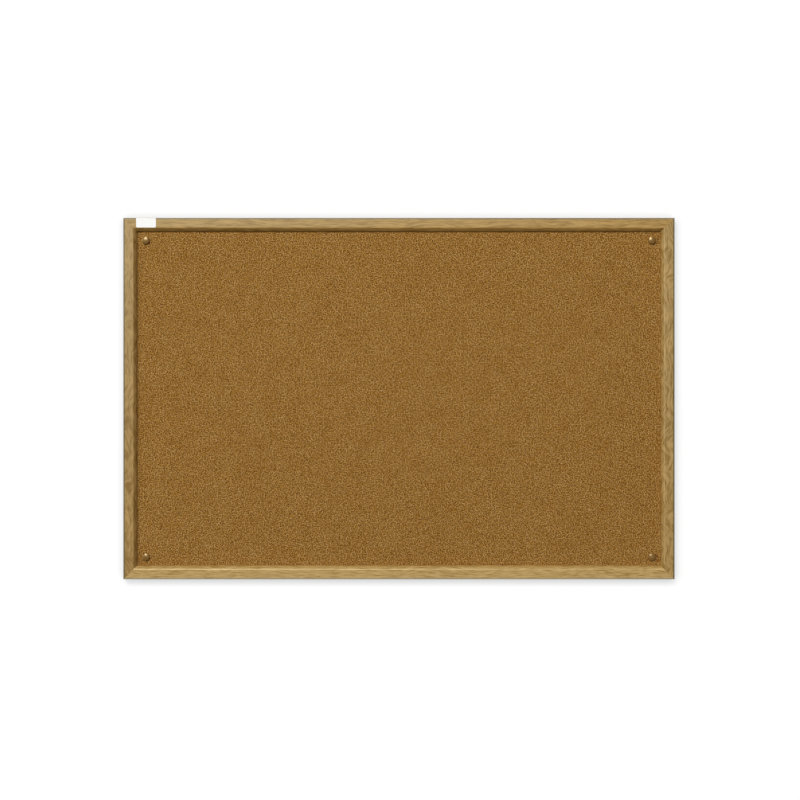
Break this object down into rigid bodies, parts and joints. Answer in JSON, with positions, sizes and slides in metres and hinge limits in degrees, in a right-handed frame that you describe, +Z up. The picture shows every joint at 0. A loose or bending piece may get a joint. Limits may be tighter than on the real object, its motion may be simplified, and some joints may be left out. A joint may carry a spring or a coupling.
{
  "type": "cork board",
  "caption": "Wall-hung cork pinboard in a mitred oak-look frame, with capped screws in the corners of the cork.",
  "frame": {"origin": "the middle of the board's back, in the plane that lies on the wall", "axes": "+Z up, +X to the right seen from the front, the cork faces -Y and the wall is at +Y"},
  "size_m": [0.9, 0.0474, 0.59],
  "materials": {
    "oak_foil": "satin oak-look foil on fibreboard",
    "cork": "matt ground cork, bonded and sanded",
    "softboard": "matt wood-fibre softboard",
    "hardboard": "smooth dark-brown hardboard",
    "zinc_steel": "bright zinc plate",
    "tan_plastic": "moulded, semi-matt",
    "label_paper": "coated white paper, blank"
  },
  "bodies": {
    "board": {"top_rail": "oak_foil", "right_stile": "oak_foil", "bottom_rail": "oak_foil", "left_stile": "oak_foil", "cork_sheet": "cork", "fibre_core": "softboard", "hardboard_back": "hardboard", "top_rail_staple_1": "zinc_steel", "top_rail_staple_2": "zinc_steel", "top_rail_staple_3": "zinc_steel", "top_rail_staple_4": "zinc_steel", "right_stile_staple_1": "zinc_steel", "right_stile_staple_2": "zinc_steel", "right_stile_staple_3": "zinc_steel", "bottom_rail_staple_1": "zinc_steel", "bottom_rail_staple_2": "zinc_steel", "bottom_rail_staple_3": "zinc_steel", "bottom_rail_staple_4": "zinc_steel", "left_stile_staple_1": "zinc_steel", "left_stile_staple_2": "zinc_steel", "left_stile_staple_3": "zinc_steel", "corner_nail_top_left_1": "zinc_steel", "corner_nail_top_left_2": "zinc_steel", "corner_nail_top_right_1": "zinc_steel", "corner_nail_top_right_2": "zinc_steel", "corner_nail_bottom_left_1": "zinc_steel", "corner_nail_bottom_left_2": "zinc_steel", "corner_nail_bottom_right_1": "zinc_steel", "corner_nail_bottom_right_2": "zinc_steel", "wall_screw_top_left": "zinc_steel", "cap_base_top_left": "tan_plastic", "wall_screw_top_right": "zinc_steel", "cap_base_top_right": "tan_plastic", "wall_screw_bottom_left": "zinc_steel", "cap_base_bottom_left": "tan_plastic", "wall_screw_bottom_right": "zinc_steel", "cap_base_bottom_right": "tan_plastic", "label": "label_paper"},
    "cap_top_left": {"screw_cap_top_left": "tan_plastic"},
    "cap_top_right": {"screw_cap_top_right": "tan_plastic"},
    "cap_bottom_left": {"screw_cap_bottom_left": "tan_plastic"},
    "cap_bottom_right": {"screw_cap_bottom_right": "tan_plastic"}
  },
  "joints": [
    {"name": "pull_cap_top_left", "type": "slide", "parent": "board", "child": "cap_top_left", "axis": [0, -1, 0], "range_m": [0, 0.015]},
    {"name": "pull_cap_top_right", "type": "slide", "parent": "board", "child": "cap_top_right", "axis": [0, -1, 0], "range_m": [0, 0.015]},
    {"name": "pull_cap_bottom_left", "type": "slide", "parent": "board", "child": "cap_bottom_left", "axis": [0, -1, 0], "range_m": [0, 0.015]},
    {"name": "pull_cap_bottom_right", "type": "slide", "parent": "board", "child": "cap_bottom_right", "axis": [0, -1, 0], "range_m": [0, 0.015]}
  ]
}
